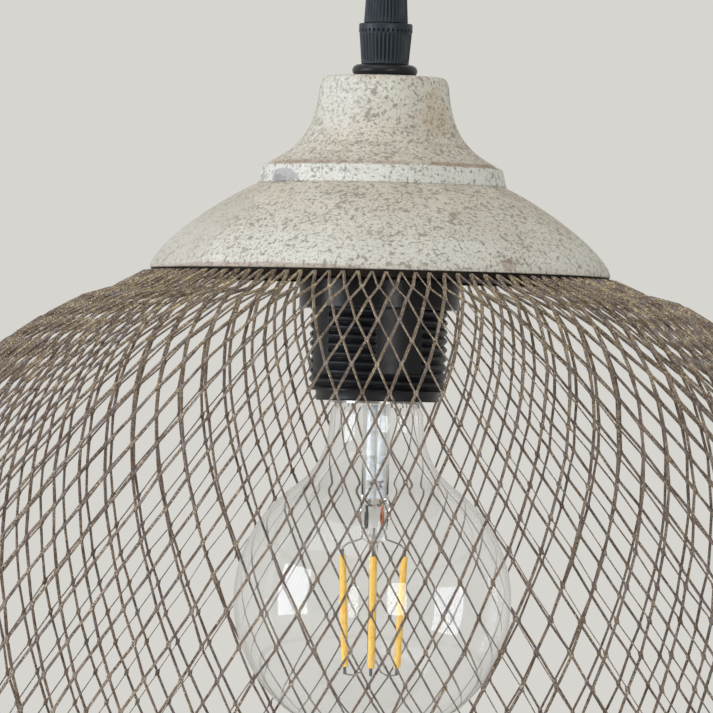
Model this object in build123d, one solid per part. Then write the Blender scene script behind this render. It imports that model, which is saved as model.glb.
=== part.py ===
from build123d import *
from math import cos, hypot, radians, sin
import os

# A pendant lamp: a cord grip, two spun caps, an expanded-metal dome shade and an E27 lampholder with
# a clear globe bulb. Lengths are in millimetres and +Z is up. The origin is the mouth of the cord's
# bore, in the top of the cord grip. Sub-parts are drawn at their heights above the rim of the dome
# cap, and save() lowers them by GRIP_TOP. Outlines are drawn as (radius, height) points.

GRIP_TOP = 90.0
SHADE_DEPTH = 190.0

# Threads: M10 x 1 for the hollow nipple, E27 for the bulb
NIPPLE_R = 5.0
NIPPLE_BORE_R = 4.0
NIPPLE_LOW = 12.5
NIPPLE_HIGH = 66.5
FIT_GAP = 0.05
NIPPLE_HOLE_R = NIPPLE_R + FIT_GAP
LOCK_NUT_HIGH = 3.0
UPPER_NUT_LOW = 52.0
LOWER_NUT_LOW = 19.5
WASHER_R = 9.0
TAG_LOW = 23.5

# Cord grip
CORD_R = 3.3
GRIP_FOOT = 60.7
GRIP_SEAT = 71.2
GRIP_SEAT_R = 4.7
GRIP_LIP = (70.0, 72.7)
GRIP_SPIGOT_R = 5.3
SLEEVE_TOP = 83.9

# Spun caps
WALL = 1.2
DOME_R = 67.2
STEP_R = 36.2
STEP_HIGH = 25.5
DOME_CURVE = [(DOME_R, 0), (66.8, 6.5), (48.5, 19.8), (STEP_R, STEP_HIGH)]
BAND_TOP = (34.9, 30.9)
BELL_CURVE = [BAND_TOP, (24.5, 35.5), (20.0, 41.0), (18.9, 53.9)]
CAP_TOP_R = 16.3
CAP_TOP = 57.2
SHOULDER_CURVE = [(18.9, 53.9), (18.7, 55.9), (17.9, CAP_TOP), (CAP_TOP_R, CAP_TOP)]

# Shade: the middle surface of the expanded metal, from under the dome cap to the open mouth
MESH_WALL = 1.2
SHADE_CURVE = [(67.6, -0.8), (134.4, -18.1), (184.7, -109.4), (186.3, 0.2 - SHADE_DEPTH)]
HEM_DEPTH = 9.0
HEM_WALL = 0.8
HEM_GROOVE_R = (185.2, 187.1)
CARRIER_R = 66.8
CARRIER_T = 1.5
CARRIER_FLANGE = 2.2
VENT_R = 5.0
VENT_CIRCLE_R = 45.0
VENT_COUNT = 6

# Lampholder
HOLDER_R = 20.1
HOLDER_BORE_R = 17.9
HOLDER_THREAD_LOW = -34.5
HOLDER_LOW = -37.4
SHOULDER_R = 22.5
SHOULDER_TOP = 3.0
LEDGE_HIGH = -10.0
CORE_TOP = 2.0
SHADE_RING_R = 23.35
SHADE_RING_LOW = -10.6
SHELL_R = 13.9
SHELL_WALL = 0.45
SHELL_LOW = -35.5
CONTACT_T = 0.5
CONTACT_WIDTH = 4.0
CENTRE_LEG_X = -4.0
SHELL_LEG_X = 9.0
TERMINAL_X = 6.5
TERMINAL_SIZE = (5.5, 6.0, 7.5)
TERMINAL_SCREW_R = 1.25

# Bulb: an 80 mm clear globe
GLOBE_R = 40.5
GLOBE_CENTRE = -95.5
GLOBE_WALL = 0.8
NECK_ANGLE = 36.0
NECK_R = 13.6
NECK_LOW = -41.0
GLASS_SEAT_R = 12.3
GLASS_TOP = -27.5
BULB_CAP_R = 13.1
BULB_CAP_WALL = 0.4
BULB_CAP_LOW = -38.0
BULB_CAP_HIGH = -15.5
TIP_HIGH = -11.2
TIP_T = 1.0
BOARD_LOW = -23.2
STEM_R = 4.0
PINCH_R = 2.6
PINCH_LOW = -78.0
ROD_R = 1.2
ROD_LOW = -113.0
FILAMENT_COUNT = 4
FILAMENT_R = 1.1
FILAMENT_TOP = (9.0, -82.5)
FILAMENT_FOOT = (7.6, -115.0)
LEAD_R = 0.35


def turned(*edges):
    """The solid that a closed outline, drawn as (radius, height), sweeps about Z."""
    return revolve(Plane.XZ * make_face(edges), Axis.Z)


def turned_points(*points):
    """The solid that a polygon of (radius, height) points sweeps about Z."""
    return turned(Polyline(*points, close=True))


def tube(outer, inner, low, high):
    """A plain round tube about Z."""
    return turned_points((inner, low), (outer, low), (outer, high), (inner, high))


def inset(points, wall):
    """Control points moved to the left of the way they run, by the wall's thickness."""
    moved = []
    for index, (r, z) in enumerate(points):
        before = points[max(index - 1, 0)]
        after = points[min(index + 1, len(points) - 1)]
        along = (after[0] - before[0], after[1] - before[1])
        length = hypot(*along)
        moved.append((r - along[1] / length * wall, z + along[0] / length * wall))
    return moved


def rod(start, end, radius):
    """A straight round rod between two points."""
    path = Line(start, end)
    return sweep(Plane(origin=path @ 0, z_dir=path % 0) * Circle(radius), path)


def polar(radius, angle, height):
    """The point at this radius, angle in degrees and height."""
    return (radius * cos(radians(angle)), radius * sin(radians(angle)), height)


# Cord grip ------------------------------------------------------------------------------------


def cord_grip_body():
    """Ribbed lower half: screwed on the nipple below, with a slim spigot for the nut above."""
    thread_top = 67.0
    spigot_top = 80.0
    foot_r, top_r, lip_r, throat_r = 6.9, 7.6, 7.8, 4.2
    lip_low, lip_top = GRIP_LIP
    return turned_points(
        (NIPPLE_HOLE_R, GRIP_FOOT), (foot_r, GRIP_FOOT), (top_r, lip_low), (lip_r, lip_low),
        (lip_r, lip_top), (GRIP_SPIGOT_R, lip_top), (GRIP_SPIGOT_R, spigot_top),
        (GRIP_SEAT_R, spigot_top), (GRIP_SEAT_R, GRIP_SEAT), (throat_r, GRIP_SEAT),
        (throat_r, thread_top), (NIPPLE_HOLE_R, thread_top),
    )


def cord_grip_insert():
    """Clamping sleeve round the cord, in the body's seat under the nut."""
    return tube(GRIP_SEAT_R - FIT_GAP, CORD_R, GRIP_SEAT, SLEEVE_TOP)


def cord_grip_nut():
    """Tapered nut that presses the sleeve on the cord."""
    foot = GRIP_LIP[1] + 0.2
    bore_r = GRIP_SPIGOT_R + FIT_GAP
    cone_low, cone_r = 81.0, 4.75
    return turned_points(
        (bore_r, foot), (6.4, foot), (6.1, 78.8), (5.7, 87.0), (5.3, 89.2), (4.7, GRIP_TOP),
        (CORD_R, GRIP_TOP), (CORD_R, SLEEVE_TOP), (cone_r, SLEEVE_TOP), (bore_r, cone_low),
    )


def grip_bead_ring():
    """Rounded collar between the cord grip and the upper cap."""
    foot = (8.2, CAP_TOP)
    side = (9.5, 58.9)
    top = (7.9, GRIP_FOOT)
    return turned(
        Line((NIPPLE_HOLE_R, CAP_TOP), foot),
        ThreePointArc(foot, side, top),
        Line(top, (NIPPLE_HOLE_R, GRIP_FOOT)),
        Line((NIPPLE_HOLE_R, GRIP_FOOT), (NIPPLE_HOLE_R, CAP_TOP)),
    )


# Nipple and its fasteners ---------------------------------------------------------------------


def hollow_nipple():
    """M10 all-thread tube that carries the cord's wires through the whole stack."""
    return tube(NIPPLE_R, NIPPLE_BORE_R, NIPPLE_LOW, NIPPLE_HIGH)


def lock_nut(low):
    """A thin M10 hexagon nut."""
    corner_r = 8.1
    blank = extrude(Pos(0, 0, low) * RegularPolygon(corner_r, 6), LOCK_NUT_HIGH)
    return blank - tube(NIPPLE_HOLE_R, 0.0, low, low + LOCK_NUT_HIGH)


def lock_washer(low, high):
    """A toothed washer under a lock nut."""
    teeth = 10
    notch_size = (2.0, 1.6)
    washer = tube(WASHER_R, NIPPLE_HOLE_R, low, high)
    for tooth in range(teeth):
        notch = Rot(0, 0, tooth * 360 / teeth) * Pos(WASHER_R, 0, (low + high) / 2)
        washer -= notch * Box(*notch_size, high - low)
    return washer


def earth_tag():
    """Ring tag with a blade for the earth wire, under the dome cap's top."""
    high = STEP_HIGH - WALL
    thick = high - TAG_LOW
    middle = (TAG_LOW + high) / 2
    blade_length, blade_width, blade_x = 10.0, 6.3, 13.0
    wire_hole_x, wire_hole_r = 15.5, 0.9
    blade = Pos(blade_x, 0, middle) * Box(blade_length, blade_width, thick)
    ring = tube(WASHER_R, NIPPLE_HOLE_R, TAG_LOW, high)
    hole = tube(NIPPLE_HOLE_R, 0.0, TAG_LOW, high)
    wire_hole = Pos(wire_hole_x, 0, middle) * Cylinder(wire_hole_r, thick)
    return ring + blade - hole - wire_hole


# Caps -----------------------------------------------------------------------------------------


def upper_cap():
    """Small bell with a stepped band at its foot and a flat top."""
    inner_bell = inset(BELL_CURVE, WALL)
    inner_shoulder = [inner_bell[-1], (17.5, 55.0), (17.0, CAP_TOP - WALL), (15.8, CAP_TOP - WALL)]
    band_r = STEP_R - WALL
    return turned(
        Line((band_r, STEP_HIGH), (STEP_R, STEP_HIGH)),
        Line((STEP_R, STEP_HIGH), BAND_TOP),
        Bezier(*BELL_CURVE),
        Bezier(*SHOULDER_CURVE),
        Line((CAP_TOP_R, CAP_TOP), (NIPPLE_HOLE_R, CAP_TOP)),
        Line((NIPPLE_HOLE_R, CAP_TOP), (NIPPLE_HOLE_R, CAP_TOP - WALL)),
        Line((NIPPLE_HOLE_R, CAP_TOP - WALL), inner_shoulder[-1]),
        Bezier(*reversed(inner_shoulder)),
        Bezier(*reversed(inner_bell)),
        Line(inner_bell[0], (band_r, STEP_HIGH)),
    )


def lower_cap():
    """Dome cap that covers the shade's neck, with a flat top under the bell."""
    inner = inset(DOME_CURVE, WALL)
    under_top = STEP_HIGH - WALL
    inner[0] = (DOME_R - WALL, 0)
    inner[-1] = (inner[-1][0], under_top)
    return turned(
        Bezier(*DOME_CURVE),
        Line(DOME_CURVE[-1], (NIPPLE_HOLE_R, STEP_HIGH)),
        Line((NIPPLE_HOLE_R, STEP_HIGH), (NIPPLE_HOLE_R, under_top)),
        Line((NIPPLE_HOLE_R, under_top), inner[-1]),
        Bezier(*reversed(inner)),
        Line(inner[0], DOME_CURVE[0]),
    )


# Shade ----------------------------------------------------------------------------------------


def mesh_shade():
    """The expanded metal's whole thickness as one closed dome, open at the bottom."""
    outer = inset(SHADE_CURVE, MESH_WALL / 2)
    inner = inset(SHADE_CURVE, -MESH_WALL / 2)
    return turned(
        Bezier(*outer), Line(outer[-1], inner[-1]), Bezier(*reversed(inner)), Line(inner[0], outer[0])
    )


def shade_carrier():
    """Pressed steel plate that joins the mesh's neck to the lampholder, with vent holes."""
    plate = turned_points(
        (HOLDER_R + 0.3, -CARRIER_T), (CARRIER_R - CARRIER_T, -CARRIER_T),
        (CARRIER_R - CARRIER_T, -CARRIER_FLANGE), (CARRIER_R, -CARRIER_FLANGE), (CARRIER_R, 0),
        (HOLDER_R + 0.3, 0),
    )
    for index in range(VENT_COUNT):
        place = Pos(*polar(VENT_CIRCLE_R, index * 360 / VENT_COUNT, -CARRIER_T / 2))
        plate -= place * Cylinder(VENT_R, CARRIER_T)
    return plate


def shade_rim_ring():
    """Folded strip that hems the mesh's bottom edge."""
    groove_in, groove_out = HEM_GROOVE_R
    top = -SHADE_DEPTH + HEM_DEPTH - HEM_WALL
    foot = -SHADE_DEPTH - HEM_WALL
    return turned_points(
        (groove_in - HEM_WALL, foot), (groove_out + HEM_WALL, foot), (groove_out + HEM_WALL, top),
        (groove_out, top), (groove_out, -SHADE_DEPTH), (groove_in, -SHADE_DEPTH), (groove_in, top),
        (groove_in - HEM_WALL, top),
    )


# Lampholder -----------------------------------------------------------------------------------


def lampholder_cap():
    """Upper shell of the lampholder, screwed on the nipple."""
    skirt_r, skirt_in = 21.0, 18.7
    boss_r, boss_low, neck_r, neck_top = 8.0, 12.0, 8.2, 19.2
    outer = [(skirt_r, 9.0), (skirt_r, 14.5), (14.0, 16.8), (neck_r, 17.0)]
    inner = [(skirt_in, 9.0), (skirt_in, 13.2), (13.0, 14.8), (boss_r, 15.0)]
    return turned(
        Line((skirt_in, SHOULDER_TOP), (skirt_r, SHOULDER_TOP)),
        Line((skirt_r, SHOULDER_TOP), outer[0]),
        Bezier(*outer),
        Line(outer[-1], (neck_r, neck_top)),
        Line((neck_r, neck_top), (NIPPLE_HOLE_R, neck_top)),
        Line((NIPPLE_HOLE_R, neck_top), (NIPPLE_HOLE_R, boss_low)),
        Line((NIPPLE_HOLE_R, boss_low), (boss_r, boss_low)),
        Line((boss_r, boss_low), inner[-1]),
        Bezier(*reversed(inner)),
        Line(inner[0], (skirt_in, SHOULDER_TOP)),
    )


def lampholder_body():
    """Outer skirt with the shade's thread, a shoulder above it and an inner ledge for the core."""
    collar_r, collar_top = 18.6, 7.0
    lip_r, lip_bore_r = 18.0, 15.6
    ledge_r, ledge_low = 14.6, LEDGE_HIGH - 2.0
    return turned_points(
        (HOLDER_BORE_R, collar_top), (collar_r, collar_top), (collar_r, SHOULDER_TOP),
        (SHOULDER_R, SHOULDER_TOP), (SHOULDER_R, 0), (HOLDER_R, 0), (HOLDER_R, HOLDER_THREAD_LOW),
        (lip_r, HOLDER_THREAD_LOW), (lip_r, HOLDER_LOW), (lip_bore_r, HOLDER_LOW),
        (lip_bore_r, -33.5), (HOLDER_BORE_R, -31.5), (HOLDER_BORE_R, ledge_low),
        (ledge_r, ledge_low), (ledge_r, LEDGE_HIGH), (HOLDER_BORE_R, LEDGE_HIGH),
    )


def shade_ring():
    """Threaded ring that clamps the shade's carrier plate up against the lampholder's shoulder."""
    return tube(SHADE_RING_R, HOLDER_R + FIT_GAP, SHADE_RING_LOW, -CARRIER_T)


def contact_leg(x, clearance=0.0):
    """The upright of a contact, through the core up to its terminal, or the slot that it stands in."""
    middle = (CORE_TOP + LEDGE_HIGH) / 2
    leg = Box(CONTACT_T + clearance, CONTACT_WIDTH + clearance, CORE_TOP - LEDGE_HIGH)
    return Pos(x, 0, middle) * leg


def lampholder_core():
    """Ceramic core that carries the contacts and terminals."""
    slot_gap = 0.1
    blank = tube(HOLDER_BORE_R - 0.2, 0.0, LEDGE_HIGH, CORE_TOP)
    return blank - contact_leg(CENTRE_LEG_X, slot_gap) - contact_leg(SHELL_LEG_X, slot_gap)


def screw_shell():
    """Brass shell that takes the bulb's thread."""
    inner_r = SHELL_R - SHELL_WALL
    hole_r = 6.0
    under_top = LEDGE_HIGH - SHELL_WALL
    return turned_points(
        (hole_r, LEDGE_HIGH), (SHELL_R, LEDGE_HIGH), (SHELL_R, SHELL_LOW), (inner_r, SHELL_LOW),
        (inner_r, under_top), (hole_r, under_top),
    )


def centre_contact():
    """Brass tongue above the bulb's tip."""
    drop_high, tongue_length, tongue_x = 0.9, 8.2, -0.15
    tongue_low = LEDGE_HIGH - drop_high
    tongue = Box(tongue_length, CONTACT_WIDTH, CONTACT_T)
    tongue = Pos(tongue_x, 0, tongue_low + CONTACT_T / 2) * tongue
    drop = Box(CONTACT_T, CONTACT_WIDTH, drop_high)
    drop = Pos(CENTRE_LEG_X, 0, (tongue_low + LEDGE_HIGH) / 2) * drop
    return contact_leg(CENTRE_LEG_X) + drop + tongue


def shell_contact():
    """Brass strip from the screw shell's top to its terminal."""
    return contact_leg(SHELL_LEG_X)


def terminal_block(side):
    """Brass terminal on top of the core, with a wire hole from above and a screw hole."""
    length, depth, high = TERMINAL_SIZE
    wire_hole_r = 1.3
    middle = CORE_TOP + high / 2
    block = Pos(side * TERMINAL_X, 0, middle) * Box(length, depth, high)
    block -= Pos(side * TERMINAL_X, 0, middle) * Cylinder(wire_hole_r, high)
    screw_hole = Pos(side * TERMINAL_X, depth / 4, middle) * Rot(90, 0, 0)
    block -= screw_hole * Cylinder(TERMINAL_SCREW_R + FIT_GAP, depth / 2)
    return block


def terminal_screw(side):
    """Cheese-head screw in a terminal's side, with a slot."""
    _, depth, high = TERMINAL_SIZE
    middle = CORE_TOP + high / 2
    head_r, head_t, slot_t, shank = 2.1, 1.5, 0.6, 1.6
    lying = Rot(90, 0, 0)
    x = side * TERMINAL_X
    screw = Pos(x, (depth + head_t) / 2, middle) * lying * Cylinder(head_r, head_t)
    screw += Pos(x, (depth - shank) / 2, middle) * lying * Cylinder(TERMINAL_SCREW_R, shank)
    slot = Pos(x, depth / 2 + head_t, middle) * Box(2 * head_r, head_t, slot_t)
    return screw - slot


# Bulb -----------------------------------------------------------------------------------------


def globe_line(wall):
    """One face of the glass as edges, from its top in the cap round to the bottom on the axis."""
    radius = GLOBE_R - wall
    angle = radians(NECK_ANGLE)
    joint = (radius * sin(angle), GLOBE_CENTRE + radius * cos(angle))
    pull = 9.0
    blend = (joint[0] - pull * cos(angle), joint[1] + pull * sin(angle))
    neck = (NECK_R - wall, NECK_LOW)
    side = (radius, GLOBE_CENTRE)
    bottom = (0, GLOBE_CENTRE - radius)
    seat = (GLASS_SEAT_R - wall, BULB_CAP_LOW - 0.3)
    return [
        Line((GLASS_SEAT_R - wall, GLASS_TOP), seat),
        Line(seat, neck),
        Bezier(neck, (NECK_R - wall, NECK_LOW - 10.0), blend, joint),
        ThreePointArc(joint, side, bottom),
    ]


def bulb_globe():
    """Clear glass envelope, open at the top where the stem closes it inside the cap."""
    outer = globe_line(0.0)
    inner = globe_line(GLOBE_WALL)
    close_bottom = Line(outer[-1] @ 1, inner[-1] @ 1)
    close_top = Line(outer[0] @ 0, inner[0] @ 0)
    return turned(*outer, *inner, close_bottom, close_top)


def bulb_stem():
    """Glass stem: a flare at the top, a tube, a pinch and a thin rod up the middle of the globe."""
    flare_r = GLASS_SEAT_R - GLOBE_WALL - 0.1
    bore_r = STEM_R - GLOBE_WALL
    tube_top = -36.0
    bore_low = -63.0
    outer = [(flare_r, GLASS_TOP), (STEM_R, -28.5), (STEM_R, -31.0), (STEM_R, tube_top)]
    inner = [(flare_r - GLOBE_WALL, GLASS_TOP), (bore_r, -27.8), (bore_r, -30.5), (bore_r, tube_top)]
    return turned(
        Bezier(*outer),
        Polyline(
            outer[-1], (STEM_R, -66.0), (PINCH_R, PINCH_LOW), (ROD_R, PINCH_LOW - 1.0),
            (ROD_R, ROD_LOW), (0, ROD_LOW - 0.8), (0, bore_low), (bore_r, bore_low + 2.0), inner[-1],
        ),
        Bezier(*reversed(inner)),
        Line(inner[0], outer[0]),
    )


def led_filament(index):
    """One straight LED filament, leaning in a little towards its foot."""
    angle = index * 360 / FILAMENT_COUNT
    top_r, top = FILAMENT_TOP
    foot_r, foot = FILAMENT_FOOT
    return rod(polar(top_r, angle, top), polar(foot_r, angle, foot), FILAMENT_R)


def filament_leads():
    """Wire arms from the pinch to the filaments' heads, and from the rod's foot to their feet."""
    top_r, top = FILAMENT_TOP
    foot_r, foot = FILAMENT_FOOT
    head_start = (3.2, PINCH_LOW + 2.0)
    foot_start = (1.7, ROD_LOW - 0.4)
    leads = []
    for index in range(FILAMENT_COUNT):
        angle = index * 360 / FILAMENT_COUNT
        head_end = polar(top_r, angle, top + 0.8)
        foot_end = polar(foot_r, angle, foot - 1.6)
        leads.append(rod(polar(head_start[0], angle, head_start[1]), head_end, LEAD_R))
        leads.append(rod(polar(foot_start[0], angle, foot_start[1]), foot_end, LEAD_R))
    return leads


def bulb_screw_cap():
    """E27 metal cap at its crest diameter."""
    inner_r = BULB_CAP_R - BULB_CAP_WALL
    neck_r = 11.0
    cone_low = -17.5
    return turned_points(
        (inner_r, BULB_CAP_LOW), (BULB_CAP_R, BULB_CAP_LOW), (BULB_CAP_R, cone_low),
        (neck_r, BULB_CAP_HIGH), (neck_r - BULB_CAP_WALL, BULB_CAP_HIGH), (inner_r, cone_low - 0.2),
    )


def bulb_insulator():
    """Black glass insulator between the cap and the tip."""
    low = BULB_CAP_HIGH
    high = TIP_HIGH - TIP_T
    return turned_points((0, low), (11.0, low), (10.4, -14.0), (6.0, high), (0, high))


def bulb_tip_contact():
    """Solder-domed centre contact on top of the insulator."""
    low = TIP_HIGH - TIP_T
    rim = (4.6, low)
    top = (0, TIP_HIGH)
    return turned(
        Line((0, low), rim), Bezier(rim, (3.6, TIP_HIGH), (1.8, TIP_HIGH), top), Line(top, (0, low))
    )


def bulb_driver_board():
    """Round circuit board with its capacitor and rectifier, inside the cap."""
    board_r, board_top = 9.5, BOARD_LOW + 1.2
    capacitor_r, capacitor_high = 2.5, 4.5
    length, width, high = 3.8, 4.6, 2.0
    rectifier_x = 5.6
    board = tube(board_r, 0.0, BOARD_LOW, board_top)
    capacitor = tube(capacitor_r, 0.0, board_top, board_top + capacitor_high)
    rectifier = Pos(rectifier_x, 0, board_top + high / 2) * Box(length, width, high)
    return board + capacitor + rectifier


def save(name, shapes):
    """Writes one node: its solid, or its group of separate solids, lowered to the part's origin."""
    solids = shapes if isinstance(shapes, list) else [shapes]
    placed = [Pos(0, 0, -GRIP_TOP) * solid for solid in solids]
    shape = placed[0] if len(placed) == 1 else Compound(children=placed)
    export_step(shape, "parts/" + name + ".step")


def main():
    os.makedirs("parts", exist_ok=True)
    save("cord_grip_nut", cord_grip_nut())
    save("cord_grip_insert", cord_grip_insert())
    save("cord_grip_body", cord_grip_body())
    save("grip_bead_ring", grip_bead_ring())
    save("hollow_nipple", hollow_nipple())
    save("lock_nuts", [lock_nut(UPPER_NUT_LOW), lock_nut(LOWER_NUT_LOW)])
    upper_washer = lock_washer(UPPER_NUT_LOW + LOCK_NUT_HIGH, CAP_TOP - WALL)
    lower_washer = lock_washer(LOWER_NUT_LOW + LOCK_NUT_HIGH, TAG_LOW)
    save("lock_washers", [upper_washer, lower_washer])
    save("earth_tag", earth_tag())
    save("upper_cap", upper_cap())
    save("lower_cap", lower_cap())
    save("mesh_shade", mesh_shade())
    save("shade_carrier", shade_carrier())
    save("shade_rim_ring", shade_rim_ring())
    save("lampholder_cap", lampholder_cap())
    save("lampholder_body", lampholder_body())
    save("shade_ring", shade_ring())
    save("lampholder_core", lampholder_core())
    save("screw_shell", screw_shell())
    save("centre_contact", centre_contact())
    save("shell_contact", shell_contact())
    save("terminal_blocks", [terminal_block(-1), terminal_block(1)])
    save("terminal_screws", [terminal_screw(-1), terminal_screw(1)])
    save("bulb_globe", bulb_globe())
    save("bulb_stem", bulb_stem())
    save("led_filaments", [led_filament(index) for index in range(FILAMENT_COUNT)])
    save("filament_leads", filament_leads())
    save("bulb_screw_cap", bulb_screw_cap())
    save("bulb_insulator", bulb_insulator())
    save("bulb_tip_contact", bulb_tip_contact())
    save("bulb_driver_board", bulb_driver_board())


main()
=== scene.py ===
import math
import random

import bmesh
import bpy
import numpy as np
from mathutils import Matrix, Vector, noise


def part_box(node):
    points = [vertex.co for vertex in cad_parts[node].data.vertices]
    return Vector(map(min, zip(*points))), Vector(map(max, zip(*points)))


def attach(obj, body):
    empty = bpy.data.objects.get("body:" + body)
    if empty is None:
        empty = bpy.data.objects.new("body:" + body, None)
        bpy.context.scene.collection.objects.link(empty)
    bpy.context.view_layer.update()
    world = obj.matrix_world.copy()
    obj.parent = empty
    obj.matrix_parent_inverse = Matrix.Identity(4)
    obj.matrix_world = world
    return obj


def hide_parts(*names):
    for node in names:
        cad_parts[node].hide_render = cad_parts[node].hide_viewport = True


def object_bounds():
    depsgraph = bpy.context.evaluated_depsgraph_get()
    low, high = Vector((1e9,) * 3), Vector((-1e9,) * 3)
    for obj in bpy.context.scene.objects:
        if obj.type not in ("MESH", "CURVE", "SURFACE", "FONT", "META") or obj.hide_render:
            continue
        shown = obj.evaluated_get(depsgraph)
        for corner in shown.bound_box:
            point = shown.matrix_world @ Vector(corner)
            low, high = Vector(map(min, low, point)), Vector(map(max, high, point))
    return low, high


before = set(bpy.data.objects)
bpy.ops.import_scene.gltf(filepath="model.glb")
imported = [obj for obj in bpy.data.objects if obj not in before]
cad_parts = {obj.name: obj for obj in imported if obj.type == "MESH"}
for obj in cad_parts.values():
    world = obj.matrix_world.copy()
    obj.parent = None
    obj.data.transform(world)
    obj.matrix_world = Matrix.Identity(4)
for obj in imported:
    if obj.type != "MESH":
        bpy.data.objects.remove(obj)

CAD_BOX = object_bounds()

# Outlines are (radius, height) in millimetres, with heights measured from the dome cap's rim plane.
MM = 0.001
RIM_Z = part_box("lower_cap")[0].z
TURN = 2 * math.pi
AROUND = 192

# The same driving curves as the CAD model
WALL = 1.2
STEP_HIGH = 25.5
CAP_TOP = 57.2
DOME_CURVE = [(67.2, 0.0), (66.8, 6.5), (48.5, 19.8), (36.2, STEP_HIGH)]
BAND_TOP = (34.9, 30.9)
BELL_CURVE = [BAND_TOP, (24.5, 35.5), (20.0, 41.0), (18.9, 53.9)]
SHOULDER_CURVE = [(18.9, 53.9), (18.7, 55.9), (17.9, CAP_TOP), (16.3, CAP_TOP)]
NIPPLE_HOLE_R = 5.05
SHADE_CURVE = [(67.6, -0.8), (134.4, -18.1), (184.7, -109.4), (186.3, -189.8)]

# Expanded metal: cells round the shade, the length of a strand from knot to knot, and the knots' size
CELLS = 104
STRAND_LENGTH = 11.4
BOND_HALF = 0.7
BOND_SIZE = (0.62, 0.6)
# Width, depth and tilt of the strands near the neck, and lower down where the mesh is drawn out further
RISING_STRAND = ((0.6, 0.82, math.radians(-36)), (0.7, 0.45, math.radians(-16)))
FALLING_STRAND = ((0.36, 0.86, math.radians(40)), (0.24, 0.92, math.radians(28)))
DRAWN_FROM, DRAWN_TO = 55, 95
KNOT_TURN = math.radians(1.4)
KNOT_EASE = 0.6
LAST_ROWS_POWER = 5

# Unevenness: knots along and round the shade, strand sizes, and how far forming pushed the surface
KNOT_SCATTER = 0.13
KNOT_SCATTER_TURN = 0.0011
STRAND_SCATTER = 0.06
PUSHED_DRIFT, PUSHED_DIP, PUSHED_LEAN = 0.7, 1.2, 0.9


def srgb(red, green, blue):
    """A display colour, 0 to 255, as the linear colour that shaders take."""
    linear = [((c / 255 + 0.055) / 1.055) ** 2.4 if c > 10 else c / 255 / 12.92 for c in (red, green, blue)]
    return (*linear, 1.0)


# Camera, light and floor ------------------------------------------------------------------------

WALL_COLOUR = srgb(215, 213, 208)
ROOM_COLOUR = srgb(178, 176, 171)
WALL_FROM = 0.55
FLOOR_DROP = 0.17


def add_camera():
    """A long lens, level with the bulb's neck, rolled by as much as the lamp leans in the picture."""
    distance = 2.3
    pixels_per_mm = 3.43
    frame_pixels = 713
    sensor = 36.0
    roll_degrees = 1.35
    level = RIM_Z - 37.1 * MM
    centre = Vector((-6.3 * MM, 0, RIM_Z - 24.5 * MM))
    data = bpy.data.cameras.new("camera")
    data.sensor_width = sensor
    data.lens = pixels_per_mm * distance / MM / frame_pixels * sensor
    data.clip_start = 0.05
    camera = bpy.data.objects.new("camera", data)
    camera.location = (centre.x, -distance, level)
    facing = (centre - camera.location).to_track_quat("-Z", "Y").to_matrix().to_4x4()
    roll = Matrix.Rotation(math.radians(roll_degrees), 4, "Z")
    camera.matrix_world = Matrix.Translation(camera.location) @ facing @ roll
    bpy.context.collection.objects.link(camera)
    bpy.context.scene.camera = camera


def area_light(name, azimuth, elevation, distance, size, power, colour):
    """A rectangular lamp aimed at the bulb, placed by its bearing from the camera's side."""
    data = bpy.data.lights.new(name, "AREA")
    data.shape = "RECTANGLE"
    data.size, data.size_y = size
    data.energy = power
    data.color = colour[:3]
    lamp = bpy.data.objects.new(name, data)
    turn, rise = math.radians(azimuth), math.radians(elevation)
    aim = Vector((0, 0, RIM_Z - 40 * MM))
    offset = Vector((math.sin(turn) * math.cos(rise), -math.cos(turn) * math.cos(rise), math.sin(rise)))
    lamp.location = aim + offset * distance
    lamp.rotation_euler = (-offset).to_track_quat("-Z", "Y").to_euler()
    bpy.context.collection.objects.link(lamp)


def add_studio():
    """A pale wall behind the lamp, a dimmer room in front, a window on the left and one behind the camera."""
    world = bpy.data.worlds.new("studio")
    world.use_nodes = True
    tree = world.node_tree
    direction = tree.nodes.new("ShaderNodeTexCoord")
    split = tree.nodes.new("ShaderNodeSeparateXYZ")
    blend = tree.nodes.new("ShaderNodeValToRGB")
    tree.links.new(direction.outputs["Generated"], split.inputs[0])
    tree.links.new(split.outputs["Y"], blend.inputs["Fac"])
    wall, room = blend.color_ramp.elements[1], blend.color_ramp.elements[0]
    room.position, room.color = 0.0, ROOM_COLOUR
    wall.position, wall.color = WALL_FROM, WALL_COLOUR
    tree.links.new(blend.outputs["Color"], tree.nodes["Background"].inputs["Color"])
    bpy.context.scene.world = world
    bpy.context.scene.view_settings.view_transform = "Standard"
    area_light("window", -70, -3, 1.9, (1.0, 1.7), 26.5, srgb(241, 246, 255))
    area_light("far_window", 20, -3, 2.8, (0.8, 1.8), 24, srgb(250, 250, 250))
    area_light("ceiling", -40, 62, 2.4, (2.2, 2.2), 20, srgb(249, 250, 252))

    floor_z = CAD_BOX[0].z - FLOOR_DROP
    radius, edges = 1.5, 96
    ring = [polar(radius, TURN * i / edges, floor_z) for i in range(edges)]
    mesh = bpy.data.meshes.new("floor")
    mesh.from_pydata(ring, [], [list(range(edges))])
    floor = bpy.data.objects.new("floor", mesh)
    bpy.context.collection.objects.link(floor)
    paint = Paint("pale_floor")
    grain = paint.noise(14, 3)
    paint.set("Base Color", paint.ramp(grain, [(0.3, srgb(212, 210, 205)), (0.7, srgb(219, 217, 213))]))
    paint.set("Roughness", 0.8)
    mesh.materials.append(paint.material)


# Materials --------------------------------------------------------------------------------------


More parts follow.
